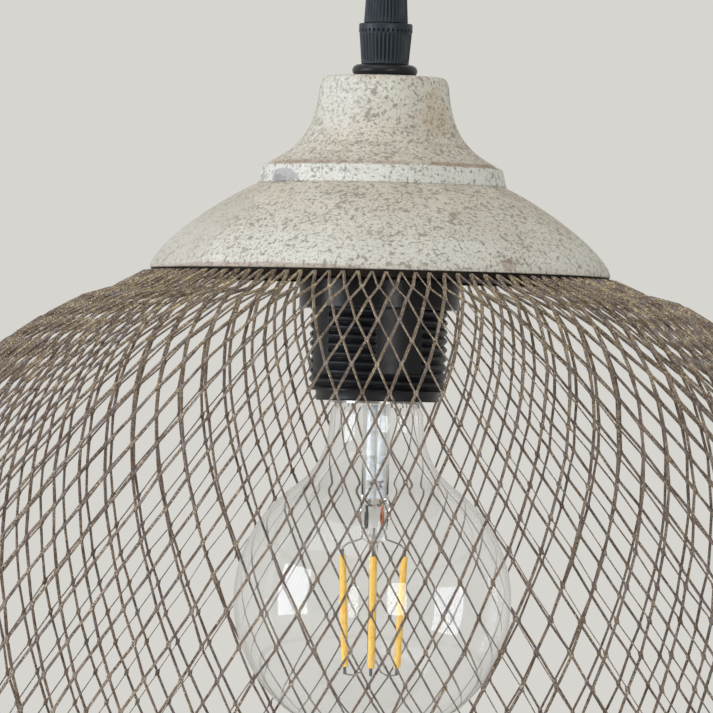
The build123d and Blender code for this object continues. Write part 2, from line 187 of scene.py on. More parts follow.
class Paint:
    """A material being built. Textures read the piece's own coordinates, in metres."""

    def __init__(self, name):
        self.material = bpy.data.materials.new(name)
        self.material.use_nodes = True
        self.tree = self.material.node_tree
        self.shader = self.tree.nodes["Principled BSDF"]
        self.place = self.add("ShaderNodeTexCoord").outputs["Object"]

    def add(self, kind, **settings):
        node = self.tree.nodes.new(kind)
        for name, value in settings.items():
            setattr(node, name, value)
        return node

    def plug(self, socket, value):
        if isinstance(value, bpy.types.NodeSocket):
            self.tree.links.new(value, socket)
        else:
            socket.default_value = value

    def set(self, name, value):
        self.plug(self.shader.inputs[name], value)

    def noise(self, scale, detail=2.0, roughness=0.5, shift=(0, 0, 0), stretch=(1, 1, 1)):
        mapping = self.add("ShaderNodeMapping")
        self.plug(mapping.inputs["Vector"], self.place)
        mapping.inputs["Location"].default_value = shift
        mapping.inputs["Scale"].default_value = stretch
        node = self.add("ShaderNodeTexNoise")
        self.plug(node.inputs["Vector"], mapping.outputs["Vector"])
        node.inputs["Scale"].default_value = scale
        node.inputs["Detail"].default_value = detail
        node.inputs["Roughness"].default_value = roughness
        return node.outputs["Fac"]

    def ramp(self, value, stops):
        node = self.add("ShaderNodeValToRGB")
        self.plug(node.inputs["Fac"], value)
        elements = node.color_ramp.elements
        while len(elements) < len(stops):
            elements.new(0.5)
        for element, (position, colour) in zip(elements, stops):
            element.position = position
            element.color = colour if hasattr(colour, "__len__") else (colour, colour, colour, 1)
        return node.outputs["Color"]

    def math(self, operation, first, second=0.0, clamp=False):
        node = self.add("ShaderNodeMath", operation=operation, use_clamp=clamp)
        self.plug(node.inputs[0], first)
        self.plug(node.inputs[1], second)
        return node.outputs[0]

    def mix(self, factor, first, second, blend="MIX"):
        node = self.add("ShaderNodeMix", data_type="RGBA", blend_type=blend)
        self.plug(node.inputs[0], factor)
        self.plug(node.inputs[6], first)
        self.plug(node.inputs[7], second)
        return node.outputs[2]

    def height(self, low, high):
        """0 to 1 as the height above the rim plane goes from low to high, in millimetres."""
        split = self.add("ShaderNodeSeparateXYZ")
        self.plug(split.inputs[0], self.place)
        node = self.add("ShaderNodeMapRange")
        self.plug(node.inputs["Value"], split.outputs["Z"])
        node.inputs["From Min"].default_value = RIM_Z + low * MM
        node.inputs["From Max"].default_value = RIM_Z + high * MM
        return node.outputs["Result"]

    def near(self, centre, radius, stretch=(1, 1, 1), ragged=0.0):
        """1 close to a point, falling to 0 at the radius, in millimetres, with a ragged edge."""
        x, y, z = centre
        node = self.add("ShaderNodeMapping")
        node.vector_type = "POINT"
        self.plug(node.inputs["Vector"], self.place)
        scale = [s / (radius * MM) for s in stretch]
        node.inputs["Scale"].default_value = scale
        middle = (x * MM, y * MM, RIM_Z + z * MM)
        node.inputs["Location"].default_value = [-m * s for m, s in zip(middle, scale)]
        length = self.add("ShaderNodeVectorMath", operation="LENGTH")
        self.plug(length.inputs[0], node.outputs["Vector"])
        distance = length.outputs["Value"]
        if ragged:
            rough = self.math("SUBTRACT", self.noise(330, 4, 0.6), 0.5)
            distance = self.math("ADD", distance, self.math("MULTIPLY", rough, ragged))
        return self.ramp(distance, [(0.75, 1.0), (1.0, 0.0)])

    def bump(self, height, strength, distance=0.2):
        node = self.add("ShaderNodeBump")
        node.inputs["Strength"].default_value = strength
        node.inputs["Distance"].default_value = distance * MM
        self.plug(node.inputs["Height"], height)
        self.set("Normal", node.outputs["Normal"])


CREAM = srgb(225, 223, 211)
CREAM_SHADE = srgb(207, 203, 190)
COOL_WHITE = srgb(223, 226, 222)
TAN = srgb(197, 186, 171)
SPECKLE = srgb(130, 124, 114)
RED_SPECKLE = srgb(142, 125, 113)
BARE_GREY = srgb(158, 158, 161)
DEEP_GREY = srgb(112, 110, 110)
OCHRE = srgb(178, 152, 104)
RUST = srgb(146, 116, 100)
# Grey-tan of the painted shade along the dome cap's left edge
PAINTED_SHADE_GREY = srgb(184, 178, 167)

# Noise scale, where the speckles start and are full, and their strength, from large to small
SPECKLE_LAYERS = ((520, 0.572, 0.665, 0.95), (980, 0.545, 0.645, 0.95), (1850, 0.52, 0.64, 0.6))
SPECKLE_COVER = 0.78


def distressed_paint(name, wash_stops, cool_stops, span):
    """Matt cream paint, worn through to grey-brown speckles, with a tan wash where it was rubbed less."""
    paint = Paint(name)
    level = paint.height(*span)
    cloud = paint.noise(38, 3, 0.55)
    base = paint.mix(paint.ramp(cloud, [(0.35, 0.0), (0.65, 1.0)]), CREAM, CREAM_SHADE)
    cool = paint.ramp(level, cool_stops)
    base = paint.mix(cool, base, COOL_WHITE)
    patchy = paint.ramp(paint.noise(75, 4, 0.6, (3, 1, 2)), [(0.35, 0.35), (0.62, 1.0)])
    wash = paint.math("MULTIPLY", paint.ramp(level, wash_stops), patchy)
    base = paint.mix(wash, base, TAN)

    mottle = paint.ramp(paint.noise(330, 3, 0.6, (9, 2, 7)), [(0.35, 0.0), (0.68, 0.5)])
    base = paint.mix(mottle, base, CREAM_SHADE)

    density = paint.math("MULTIPLY", paint.math("SUBTRACT", paint.noise(95, 2, 0.5, (5, 5, 5)), 0.5), 0.16)
    heavier = paint.math("MULTIPLY", wash, 0.01)
    lighter = paint.math("MULTIPLY", cool, -0.035)
    bias = paint.math("ADD", density, paint.math("ADD", heavier, lighter))
    speckles = 0.0
    for scale, low, high, strength in SPECKLE_LAYERS:
        field = paint.math("ADD", paint.noise(scale, 1.6, 0.52, (scale, 2, 4)), bias)
        speckles = paint.math("MAXIMUM", speckles, paint.ramp(field, [(low, 0.0), (high, strength)]))
    reddish = paint.ramp(paint.noise(200, 2, 0.5, (1, 8, 3)), [(0.44, 0.0), (0.68, 1.0)])
    hue = paint.mix(reddish, SPECKLE, RED_SPECKLE)
    speckled = paint.mix(paint.math("MULTIPLY", speckles, SPECKLE_COVER), base, hue)
    return paint, speckled, speckles


def finish_paint(paint, colour, relief):
    """Roughness and shallow pits that follow the worn spots."""
    paint.set("Base Color", colour)
    paint.set("Roughness", paint.ramp(relief, [(0.0, 0.62), (1.0, 0.78)]))
    paint.shader.inputs["Specular IOR Level"].default_value = 0.35
    grain = paint.math("MULTIPLY", paint.noise(2200, 2), 0.25)
    paint.bump(paint.math("SUBTRACT", grain, relief), 0.35, 0.12)
    return paint.material


def upper_cap_paint():
    span = (STEP_HIGH, CAP_TOP)
    wash = [(0.0, 0.0), (0.165, 0.0), (0.18, 0.7), (0.3, 0.35)]
    wash += [(0.5, 0.55), (0.7, 0.15), (0.9, 0.1), (1.0, 0.6)]
    cool = [(0.0, 1.0), (0.155, 1.0), (0.175, 0.0), (0.6, 0.1), (0.8, 0.35)]
    paint, colour, speckles = distressed_paint("distressed_cream_bell", wash, cool, span)
    # Painted highlight: a whiter patch on the bell's upper left, where the window light falls
    painted_highlight = paint.near((-13.0, -14.0, 49.0), 10.0, (1.0, 1.0, 0.9), 0.7)
    colour = paint.mix(paint.math("MULTIPLY", painted_highlight, 0.22), colour, COOL_WHITE)
    stain = paint.near((15.0, -13.5, 46.5), 7.0, (1.2, 1.0, 0.8), 1.2)
    colour = paint.mix(paint.math("MULTIPLY", stain, 0.24), colour, OCHRE)
    level = paint.height(*span)
    broken = paint.ramp(paint.noise(60, 3, 0.6, (2, 6, 1)), [(0.38, 0.0), (0.56, 1.0)])
    for low, high, strength in ((0.168, 0.192, 0.6), (0.345, 0.375, 0.3), (0.27, 0.285, 0.2)):
        edges = [(low - 0.01, 0.0), (low, 1.0), (high, 1.0), (high + 0.02, 0.0)]
        crease = paint.math("MULTIPLY", paint.ramp(level, edges), broken)
        colour = paint.mix(paint.math("MULTIPLY", crease, strength), colour, RUST)
    worn = paint.near((-28.4, -21.0, 27.0), 3.6, (0.55, 0.55, 1.4), 3.0)
    colour = paint.mix(paint.math("MULTIPLY", worn, 0.7), colour, BARE_GREY)
    scrapes = (((-30.4, -19.0, 26.4), 2.4, (0.55, 0.5, 2.2)), ((-34.8, -9.6, 27.2), 2.4, (1.0, 0.8, 1.2)))
    for middle, radius, stretch in scrapes:
        scrape = paint.near(middle, radius, stretch, 3.4)
        colour = paint.mix(paint.math("MULTIPLY", scrape, 0.4), colour, DEEP_GREY)
    for crack in (-17.5, -10.9):
        line = paint.near((crack, -34.0, 28.4), 2.6, (13.0, 0.1, 0.9), 0.5)
        colour = paint.mix(paint.math("MULTIPLY", line, 0.4), colour, SPECKLE)
    return finish_paint(paint, colour, speckles)


def lower_cap_paint():
    span = (0.0, STEP_HIGH)
    wash = [(0.0, 0.6), (0.02, 0.3), (0.05, 0.0), (0.45, 0.15), (0.8, 0.55), (1.0, 0.9)]
    cool = [(0.0, 0.4), (0.3, 0.45), (0.55, 0.1), (0.8, 0.0)]
    paint, colour, speckles = distressed_paint("distressed_cream_dome", wash, cool, span)
    # Painted shade: a tan-grey patch darkens the dome's left edge, where it turns away from the light
    painted_limb_shade = paint.near((-60.0, -20.0, 8.0), 30.0, (1.0, 1.0, 0.8), 0.6)
    colour = paint.mix(paint.math("MULTIPLY", painted_limb_shade, 0.5), colour, PAINTED_SHADE_GREY)
    # A thin rust-brown line along the foot of the rim on the front left
    rim_foot_line = paint.near((-33.0, -58.0, 0.4), 26.0, (0.8, 0.3, 21.0), 0.8)
    colour = paint.mix(paint.math("MULTIPLY", rim_foot_line, 0.4), colour, RUST)
    chips = [(28.4, -60.0, 7.4), (30.0, -59.6, 6.4), (31.6, -59.0, 5.4)]
    chips += [(33.4, -58.2, 4.4), (35.4, -57.0, 3.4)]
    for chip in chips:
        scratch = paint.near(chip, 1.25, (0.8, 0.4, 1.9), 0.9)
        colour = paint.mix(paint.math("MULTIPLY", scratch, 0.55), colour, SPECKLE)
    specks = paint.near((37.0, -56.0, 2.6), 2.4, (0.9, 0.4, 1.4), 3.0)
    colour = paint.mix(paint.math("MULTIPLY", specks, 0.45), colour, RUST)
    return finish_paint(paint, colour, speckles)


def bronze_paint(name, shade=1.0):
    """Brown paint with fine rubbed gold flecks and violet-grey patches; near the neck, extra gold flecks are
    partly real rubbing and partly painted sheen.
    """
    paint = Paint(name)
    dark, light, violet = srgb(88, 71, 61), srgb(134, 117, 104), srgb(124, 117, 124)
    cloud = paint.ramp(paint.noise(170, 3, 0.6), [(0.38, dark), (0.62, light)])
    cool = paint.ramp(paint.noise(260, 2, 0.5, (4, 4, 1)), [(0.51, 0.0), (0.64, 0.75)])
    base = paint.mix(cool, cloud, violet)
    patches = paint.math("MULTIPLY", paint.math("SUBTRACT", paint.noise(140, 2, 0.5, (7, 1, 9)), 0.5), 0.35)
    # Real rubbed flecks plus painted sheen: more and goldier flecks near the neck, where the mesh is seen at
    # a grazing angle
    neck = paint.height(-55, -5)
    neck_fleck_and_sheen_bias = paint.math("MULTIPLY", neck, 0.02)
    grain = paint.math("ADD", paint.math("ADD", paint.noise(2300, 2, 0.6, (2, 7, 5)), patches), neck_fleck_and_sheen_bias)
    fleck = paint.ramp(grain, [(0.56, 0.0), (0.64, 0.85)])
    clump = paint.math("ADD", paint.noise(900, 3, 0.65, (5, 2, 3)), paint.math("MULTIPLY", patches, 0.5))
    clump = paint.math("MULTIPLY", paint.ramp(clump, [(0.56, 0.0), (0.62, 0.9)]), neck)
    fleck = paint.math("MAXIMUM", fleck, clump)
    pale = paint.ramp(paint.noise(1900, 1, 0.5), [(0.4, srgb(176, 156, 122)), (0.62, srgb(222, 214, 190))])
    gold = paint.mix(paint.math("MULTIPLY", neck, 0.35), pale, srgb(206, 184, 124))
    pits = paint.ramp(paint.noise(1100, 2, 0.6, (3, 3, 8)), [(0.36, 0.6), (0.47, 0.0)])
    colour = paint.mix(fleck, paint.mix(pits, base, srgb(56, 45, 40)), gold)
    # A shade below 1 darkens the paint towards black: painted shade for a part that sits in shadow
    paint.set("Base Color", paint.mix(shade, (0.01, 0.01, 0.01, 1), colour) if shade < 1 else colour)
    paint.set("Metallic", paint.ramp(fleck, [(0.0, 0.0), (0.8, 0.3)]))
    paint.set("Roughness", paint.ramp(paint.noise(1300, 2), [(0.3, 0.45), (0.7, 0.65)]))
    paint.shader.inputs["Specular IOR Level"].default_value = 0.5 * shade
    paint.bump(paint.noise(1400, 3, 0.6), 0.5, 0.15)
    return paint.material


def black_plastic(name, roughness, tint, shine=0.36):
    """Moulded black thermoplastic with a fine moulding grain."""
    paint = Paint(name)
    tone = paint.noise(60, 3, 0.5)
    paint.set("Base Color", paint.ramp(tone, [(0.3, srgb(*tint)), (0.7, srgb(*[c + 7 for c in tint]))]))
    low, high = roughness
    paint.set("Roughness", paint.ramp(paint.noise(480, 3, 0.6), [(0.3, low), (0.7, high)]))
    paint.shader.inputs["Specular IOR Level"].default_value = shine
    paint.bump(paint.noise(2600, 2), 0.12, 0.05)
    return paint.material


def metal(name, colour, roughness, brushed=(1, 1, 1)):
    """Bare or plated metal with fine drawn marks."""
    paint = Paint(name)
    darker = (*[c * 0.8 for c in colour[:3]], 1.0)
    marks = paint.noise(900, 3, 0.6, stretch=brushed)
    paint.set("Base Color", paint.ramp(marks, [(0.3, darker), (0.7, colour)]))
    paint.set("Metallic", 1.0)
    low, high = roughness
    paint.set("Roughness", paint.ramp(marks, [(0.3, low), (0.7, high)]))
    paint.bump(marks, 0.15, 0.05)
    return paint.material


def plain_solid(name, dark, light, roughness, scale=300):
    """A matt or glazed non-metal with a mottled tone."""
    paint = Paint(name)
    grain = paint.noise(scale, 3, 0.6)
    paint.set("Base Color", paint.ramp(grain, [(0.3, dark), (0.7, light)]))
    paint.set("Roughness", paint.ramp(grain, [(0.3, roughness), (0.7, min(roughness + 0.12, 1.0))]))
    paint.bump(grain, 0.15, 0.06)
    return paint.material


def clear_glass(name="clear_glass"):
    """Clear blown glass that lets lamps through, with faint ripples."""
    paint = Paint(name)
    paint.set("Base Color", (0.985, 0.99, 0.99, 1.0))
    paint.set("Transmission Weight", 1.0)
    paint.set("IOR", 1.47)
    paint.set("Roughness", 0.0)
    paint.bump(paint.noise(30, 1, 0.4), 0.02, 0.3)
    output = paint.tree.nodes["Material Output"]
    clear = paint.add("ShaderNodeBsdfTransparent")
    light_path = paint.add("ShaderNodeLightPath")
    choose = paint.add("ShaderNodeMixShader")
    paint.plug(choose.inputs[0], light_path.outputs["Is Shadow Ray"])
    paint.plug(choose.inputs[1], paint.shader.outputs[0])
    paint.plug(choose.inputs[2], clear.outputs[0])
    paint.plug(output.inputs["Surface"], choose.outputs[0])
    return paint.material


def phosphor():
    """Silicone and phosphor coat of an unlit LED filament."""
    paint = Paint("phosphor")
    chips = paint.noise(1100, 2, 0.5, stretch=(1, 1, 0.5))
    paint.set("Base Color", paint.ramp(chips, [(0.35, srgb(252, 192, 74)), (0.65, srgb(255, 214, 104))]))
    paint.set("Roughness", 0.45)
    paint.set("Subsurface Weight", 0.3)
    paint.shader.inputs["Subsurface Radius"].default_value = (0.001, 0.0007, 0.0003)
    paint.bump(chips, 0.1, 0.05)
    return paint.material


def stem_highlight_paint():
    """White strips with a fine streaked grain inside the stem: painted highlights for the glass stem's bright
    vertical reflections.
    """
    paint = Paint("stem_highlight_white")
    strip_grain = paint.noise(1500, 2, 0.5, stretch=(1, 1, 0.4))
    paint.set("Base Color", paint.ramp(strip_grain, [(0.3, srgb(222, 228, 230)), (0.7, srgb(240, 244, 246))]))
    paint.set("Roughness", paint.ramp(strip_grain, [(0.3, 0.5), (0.7, 0.65)]))
    paint.bump(strip_grain, 0.2, 0.05)
    return paint.material


# Mesh tools -------------------------------------------------------------------------------------


def polar(radius, angle, height):
    return (radius * math.cos(angle), radius * math.sin(angle), height)


def curve_points(controls, count):
    """Points along a cubic curve."""
    p = np.array(controls, float)
    t = np.linspace(0, 1, count)[:, None]
    points = (1 - t) ** 3 * p[0] + 3 * (1 - t) ** 2 * t * p[1] + 3 * (1 - t) * t**2 * p[2] + t**3 * p[3]
    return [tuple(point) for point in points]


def inset(points, wall):
    """Points moved to the left of the way they run, by the wall's thickness."""
    moved = []
    for index, (r, z) in enumerate(points):
        before = points[max(index - 1, 0)]
        after = points[min(index + 1, len(points) - 1)]
        along = (after[0] - before[0], after[1] - before[1])
        length = math.hypot(*along)
        moved.append((r - along[1] / length * wall, z + along[0] / length * wall))
    return moved


def arc_points(centre, radius, start, end, count):
    """Points on a circle's arc, with angles in degrees from the +radius direction."""
    angles = np.linspace(math.radians(start), math.radians(end), count)
    return [(centre[0] + radius * math.cos(a), centre[1] + radius * math.sin(a)) for a in angles]


def face_outwards(mesh):
    """Turns every closed shell's faces to the outside."""
    shell = bmesh.new()
    shell.from_mesh(mesh)
    bmesh.ops.recalc_face_normals(shell, faces=shell.faces)
    shell.to_mesh(mesh)
    shell.free()


def add_piece(name, vertices, faces, material, body, replaces=(), sharp=35):
    """A mesh piece in the row's frame: vertices in millimetres from the rim plane's centre."""
    mesh = bpy.data.meshes.new(name)
    placed = np.array(vertices, float) * MM + np.array((0, 0, RIM_Z))
    mesh.from_pydata(placed.tolist(), [], faces)
    face_outwards(mesh)
    mesh.shade_smooth()
    mesh.set_sharp_from_angle(angle=math.radians(sharp))
    mesh.materials.append(material)
    piece = bpy.data.objects.new(name, mesh)
    bpy.context.collection.objects.link(piece)
    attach(piece, body)
    if replaces:
        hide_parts(*replaces)
    return piece


def grid_faces(rows, columns, close_rows, close_columns):
    """Quads of a grid of points, closed along either way, wound the same."""
    faces = []
    for i in range(rows if close_rows else rows - 1):
        for j in range(columns if close_columns else columns - 1):
            a, b = i * columns, (i + 1) % rows * columns
            k = (j + 1) % columns
            faces.append((a + j, a + k, b + k, b + j))
    return faces


def turned(outline, shape=None, around=AROUND):
    """A closed outline turned about Z. shape(radius, angle, height) may push the radius in or out."""
    vertices = []
    for r, z in outline:
        for step in range(around):
            angle = TURN * step / around
            radius = shape(r, angle, z) if shape else r
            vertices.append(polar(radius, angle, z))
    return vertices, grid_faces(len(outline), around, True, True)


def turned_on_axis(outline, around=AROUND):
    """An outline that starts and ends on the axis, turned about Z, with a fan at each pole."""
    inner = outline[1:-1]
    vertices = [(0, 0, outline[0][1])]
    for r, z in inner:
        vertices += [polar(r, TURN * s / around, z) for s in range(around)]
    vertices.append((0, 0, outline[-1][1]))
    last = len(vertices) - 1
    faces = [tuple(1 + v for v in face) for face in grid_faces(len(inner), around, False, True)]
    foot = 1 + (len(inner) - 1) * around
    for s in range(around):
        faces.append((0, 1 + (s + 1) % around, 1 + s))
        faces.append((last, foot + s, foot + (s + 1) % around))
    return vertices, faces


def bar(path, radius, sides=10):
    """A round wire along a list of points, capped at both ends."""
    points = [Vector(p) for p in path]
    vertices, faces = [], []
    for index, point in enumerate(points):
        before, after = points[max(index - 1, 0)], points[min(index + 1, len(points) - 1)]
        turn = (after - before).to_track_quat("Z", "Y")
        for s in range(sides):
            angle = TURN * s / sides
            vertices.append(point + turn @ Vector(polar(radius, angle, 0)))
    faces += grid_faces(len(points), sides, False, True)
    faces.append(tuple(range(sides - 1, -1, -1)))
    end = (len(points) - 1) * sides
    faces.append(tuple(end + s for s in range(sides)))
    return [tuple(v) for v in vertices], faces


def joined(parts):
    """Several (vertices, faces) as one."""
    vertices, faces = [], []
    for part_vertices, part_faces in parts:
        start = len(vertices)
        vertices += part_vertices
        faces += [tuple(start + v for v in face) for face in part_faces]
    return vertices, faces


# Expanded metal shade ---------------------------------------------------------------------------


class Dome:
    """The shade's middle surface, by distance along its profile from the neck."""

    def __init__(self):
        self.points = np.array(curve_points(SHADE_CURVE, 1200))
        steps = np.hypot(*np.diff(self.points, axis=0).T)
        self.run = np.concatenate([[0], np.cumsum(steps)])
        self.length = self.run[-1]

    def at(self, run):
        """Radius and height there."""
        return (np.interp(run, self.run, self.points[:, 0]), np.interp(run, self.run, self.points[:, 1]))

    def pressed(self, run, angle):
        """How far forming has pushed the mesh out or in there. The neck dips a little beside the cap."""
        ends = min(run / 8, 1) * min((self.length - run) / 14, 1)
        drift = noise.noise(Vector((1.6 * math.cos(angle), 1.6 * math.sin(angle), run / 8.5)))
        dip = math.exp(-(((run - 11) / 8) ** 2))
        lean = math.cos(angle) * math.exp(-(((run - 22) / 14) ** 2))
        return max(ends, 0) * (PUSHED_DRIFT * drift - PUSHED_DIP * dip + PUSHED_LEAN * lean)

    def place(self, run, angle):
        """The point and the outward normal there."""
        r, z = self.at(run)
        before, after = self.at(run - 0.5), self.at(run + 0.5)
        slope = np.array([after[0] - before[0], after[1] - before[1]])
        slope /= np.hypot(*slope)
        outward = (-slope[1], slope[0])
        normal = Vector((outward[0] * math.cos(angle), outward[0] * math.sin(angle), outward[1]))
        return Vector(polar(r, angle, z)) + normal * self.pressed(run, angle), normal


def mesh_rows(dome):
    """Distances of the knot rows: strands keep their length as the dome widens, until the last few rows."""
    rows = [0.0]
    while rows[-1] < dome.length - STRAND_LENGTH * 0.4:
        radius, _ = dome.at(rows[-1] + STRAND_LENGTH / 2)
        half_cell = math.pi * radius / CELLS
        rows.append(rows[-1] + math.sqrt(STRAND_LENGTH**2 - half_cell**2))
    excess = dome.length - rows[-1]
    return [row + excess * (row / rows[-1]) ** LAST_ROWS_POWER for row in rows]


def strand_section(point, normal, along, width, depth, tilt):
    """Four corners of a flat strand, turned about its run by the tilt."""
    side = along.cross(normal).normalized()
    turn = Matrix.Rotation(tilt, 3, along)
    across, out = turn @ side * width / 2, turn @ normal * depth / 2
    return [point + across + out, point - across + out, point - across - out, point + across - out]


def ribbon(dome, rows, index, chance):
    """One zigzag strand from the neck to the mouth. It meets its neighbours side by side at the knots."""
    bond_width = BOND_SIZE[0]
    stops = []
    for k, run in enumerate(rows):
        on_left = (index + k) % 2 == 0
        column = (index if on_left else index + 1) % (2 * CELLS)
        knot = random.Random(1000 * k + column)
        shift_run, shift_turn = knot.gauss(0, KNOT_SCATTER), knot.gauss(0, KNOT_SCATTER_TURN)
        radius, _ = dome.at(run)
        lean = (1 if on_left else -1) * bond_width * 0.46 / radius
        angle = (index if on_left else index + 1) * math.pi / CELLS + KNOT_TURN + shift_turn + lean
        stops.append((run + shift_run, angle - math.pi / 2))
    sections = []
    for k, (run, angle) in enumerate(stops):
        for edge in (-1, 1):
            here = min(max(run + edge * BOND_HALF, 0), dome.length)
            point, normal = dome.place(here, angle)
            along = (dome.place(here + 0.5, angle)[0] - dome.place(here - 0.5, angle)[0]).normalized()
            bond = strand_section(point, normal, along, *BOND_SIZE, 0)
            if not 0 <= k + edge < len(stops):
                sections.append(bond)
                continue
            other_run, other_angle = stops[k + edge]
            far_run = other_run - edge * BOND_HALF
            share = KNOT_EASE / abs(far_run - here)
            point, normal = dome.place(here + (far_run - here) * share, angle + (other_angle - angle) * share)
            along = ((dome.place(far_run, other_angle)[0] - point) * edge).normalized()
            goes_right = (other_angle - angle) * edge > 0
            near, far = FALLING_STRAND if goes_right else RISING_STRAND
            drawn = min(max((here - DRAWN_FROM) / (DRAWN_TO - DRAWN_FROM), 0), 1)
            width, depth, tilt = (a + (b - a) * drawn for a, b in zip(near, far))
            size = chance.gauss(1, STRAND_SCATTER)
            strand = strand_section(point, normal, along, width * size, depth * size, tilt)
            sections += [bond, strand] if edge == 1 else [strand, bond]
    vertices = [tuple(corner) for section in sections for corner in section]
    faces = grid_faces(len(sections), 4, False, True)
    last = len(vertices)
    faces.append((3, 2, 1, 0))
    faces.append((last - 4, last - 3, last - 2, last - 1))
    return vertices, faces


def mesh_shade():
    dome = Dome()
    rows = mesh_rows(dome)
    chance = random.Random(11)
    parts = [ribbon(dome, rows, index, chance) for index in range(2 * CELLS)]
    vertices, faces = joined(parts)
    add_piece("expanded_mesh", vertices, faces, bronze, "lamp", ["mesh_shade"], 30)


def shade_hem():
    """Folded strip round the mouth, pressed a little unevenly on the mesh."""
    low, high = -190.8, -181.8
    outer, inner = 187.84, 184.4
    fold = 0.9
    groove_out, groove_in = 187.0, 185.3
    outline = [(groove_in, high), (groove_in, -189.6), (groove_out, -189.6), (groove_out, high)]
    outline += arc_points((outer - 0.4, high), 0.4, 90, 0, 4)
    outline += [(outer, high - 2), (outer, (low + high) / 2), (outer, low + fold + 0.5)]
    outline += arc_points((outer - fold, low + fold), fold, 0, -90, 7)
    outline += arc_points((inner + fold, low + fold), fold, -90, -180, 7)
    outline += [(inner, low + fold + 0.5), (inner, (low + high) / 2), (inner, high - 2)]
    outline += arc_points((inner + 0.4, high), 0.4, 180, 90, 4)

    def pressed(r, angle, z):
        wave = 0.07 * math.sin(52 * angle) + 0.05 * math.sin(17 * angle + 1) + 0.03 * math.sin(131 * angle)
        edge = (z - low) / (high - low)
        return r - (0.15 - wave) * max(edge, 0)

    vertices, faces = turned(outline, pressed, 720)
    add_piece("rim_hem", vertices, faces, bronze_rim, "lamp", ["shade_rim_ring"])


# Caps -------------------------------------------------------------------------------------------


def upper_cap():
    bell = curve_points(BELL_CURVE, 28)
    shoulder = curve_points(SHOULDER_CURVE, 10)
    band = [(36.0, STEP_HIGH), (36.25, STEP_HIGH + 0.3), (36.05, STEP_HIGH + 1.0)]
    band += [(35.2, 30.2), (34.9, 30.75)]
    lip = [(34.5, 30.95), (33.9, 30.9)]
    outer = band + lip + bell[2:] + shoulder[1:]
    underside = CAP_TOP - WALL
    inner = inset(bell[2:], WALL)
    outline = outer + [(NIPPLE_HOLE_R, CAP_TOP), (NIPPLE_HOLE_R, underside), (15.4, underside)]
    outline += [(17.0, 55.2)] + inner[::-1] + [(34.0, 29.8), (34.9, STEP_HIGH)]
    vertices, faces = turned(outline, None, 256)
    add_piece("bell_cap", vertices, faces, upper_cap_paint(), "lamp", ["upper_cap"], 40)


def lower_cap():
    dome = curve_points(DOME_CURVE, 36)
    under_top = STEP_HIGH - WALL
    inner = inset(dome, WALL)
    edge = [(66.1, 0.0), (66.9, 0.0), (67.15, 0.2)]
    outline = edge + dome[1:] + [(NIPPLE_HOLE_R, STEP_HIGH), (NIPPLE_HOLE_R, under_top)]
    outline += [(inner[-1][0], under_top)] + inner[-2:0:-1]
    vertices, faces = turned(outline, None, 320)
    add_piece("dome_cap", vertices, faces, lower_cap_paint(), "lamp", ["lower_cap"], 40)


# Cord grip --------------------------------------------------------------------------------------


def ribs(count, depth, low, high, fade=0.5):
    """A radius change that cuts rounded grooves between ribs, from low to high."""

    def shape(r, angle, z):
        ends = min(max((z - low) / fade, 0), 1) * min(max((high - z) / fade, 0), 1)
        wave = 0.5 - 0.5 * math.cos(count * angle)
        return r - depth * ends * wave**1.5

    return shape


